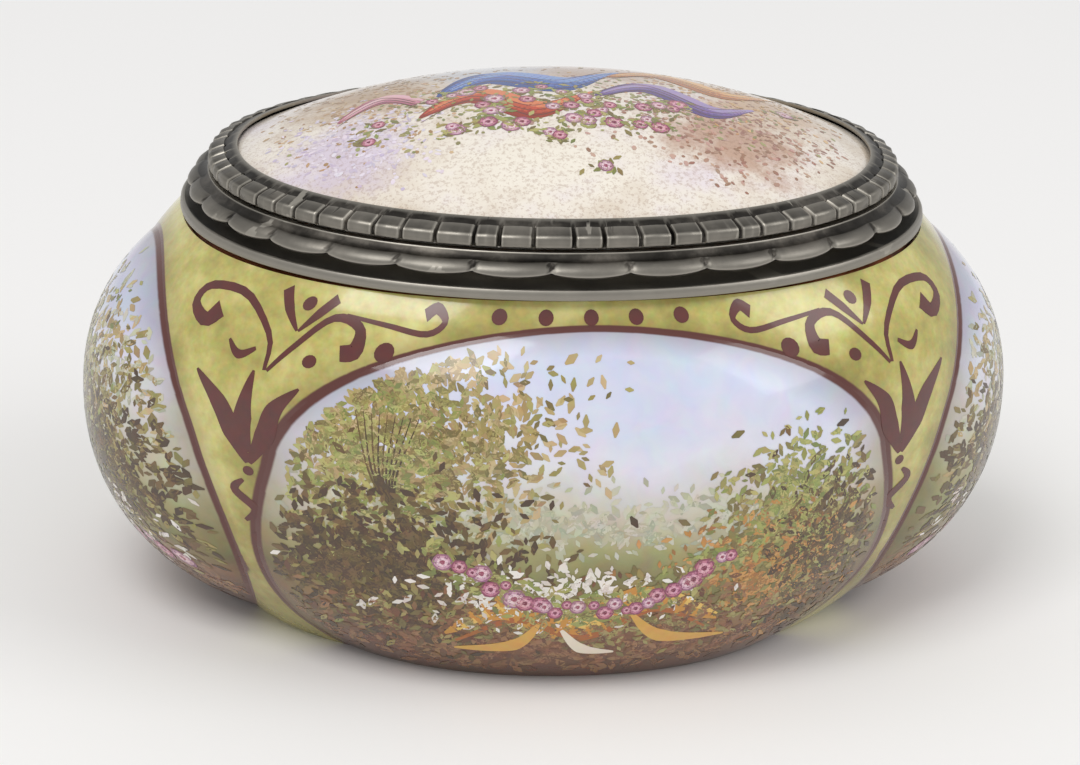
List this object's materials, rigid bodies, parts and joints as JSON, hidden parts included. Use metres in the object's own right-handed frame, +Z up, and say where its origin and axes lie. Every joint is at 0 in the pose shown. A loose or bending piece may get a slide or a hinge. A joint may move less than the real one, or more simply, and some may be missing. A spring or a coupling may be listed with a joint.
{
  "type": "enamelled box",
  "caption": "Oval bombe enamelled copper box with four swelling painted lobes, a domed lid and tarnished silver mounts joined by a back hinge.",
  "frame": {"origin": "middle of the flat base, at the bottom centre of the bounding box", "axes": "+X along the box's width, +Y towards the hinge at the back, +Z up"},
  "size_m": [0.0854, 0.0632, 0.0481],
  "materials": {
    "ground_enamel": "fired painted enamel, glossy",
    "lid_enamel": "fired painted enamel, glossy",
    "counter_enamel": "fired white enamel, glossy",
    "copper": "dull copper sheet",
    "silver": "dark tarnished silver"
  },
  "bodies": {
    "box": {"body_outer_enamel": "ground_enamel", "body_copper_shell": "copper", "body_counter_enamel": "counter_enamel", "body_rim_flange": "silver", "body_rim_collar": "silver", "body_hinge_plate": "silver", "body_hinge_knuckle_1": "silver", "body_hinge_knuckle_3": "silver", "body_hinge_knuckle_5": "silver", "hinge_pin": "silver"},
    "lid": {"lid_outer_enamel": "lid_enamel", "lid_copper_dome": "copper", "lid_counter_enamel": "counter_enamel", "lid_milled_ring": "silver", "lid_petal_frame": "silver", "lid_retaining_ring": "silver", "lid_hinge_plate": "silver", "lid_hinge_knuckle_2": "silver", "lid_hinge_knuckle_4": "silver"}
  },
  "joints": [
    {"name": "lid_hinge", "type": "hinge", "parent": "box", "child": "lid", "pos_m": [0, 0.0267, 0.0379], "axis": [-1, 0, 0], "range_deg": [0, 100]}
  ]
}
